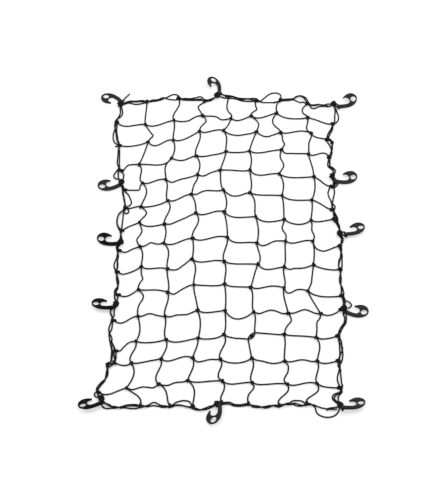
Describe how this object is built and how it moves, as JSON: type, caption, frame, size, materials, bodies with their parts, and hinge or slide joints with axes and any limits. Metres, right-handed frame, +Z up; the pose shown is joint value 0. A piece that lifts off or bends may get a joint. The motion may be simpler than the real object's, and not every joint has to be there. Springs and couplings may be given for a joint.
{
  "type": "cargo net",
  "caption": "Stretch cargo net laid flat: knotted elastic mesh, doubled border cord with loose loops and stopper knots, and moulded eye hooks round the edge.",
  "frame": {"origin": "middle of the whole net's box on the surface it lies on, hooks included", "axes": "+X to the right across the net's short way, +Y away from the reader along its long way, +Z up out of the surface"},
  "size_m": [0.69, 1.0888, 0.012],
  "materials": {
    "mesh_cord": "black braided sheath over elastic, matt",
    "border_cord": "black braided sheath over elastic, matt",
    "hook_plastic": "black moulded plastic, satin"
  },
  "bodies": {
    "root": {"net_mesh": "mesh_cord", "border_cord": "border_cord", "hook_01": "hook_plastic", "hook_02": "hook_plastic", "hook_03": "hook_plastic", "hook_04": "hook_plastic", "hook_05": "hook_plastic", "hook_06": "hook_plastic", "hook_07": "hook_plastic", "hook_08": "hook_plastic", "hook_09": "hook_plastic", "hook_10": "hook_plastic", "hook_11": "hook_plastic", "hook_12": "hook_plastic"}
  },
  "joints": []
}
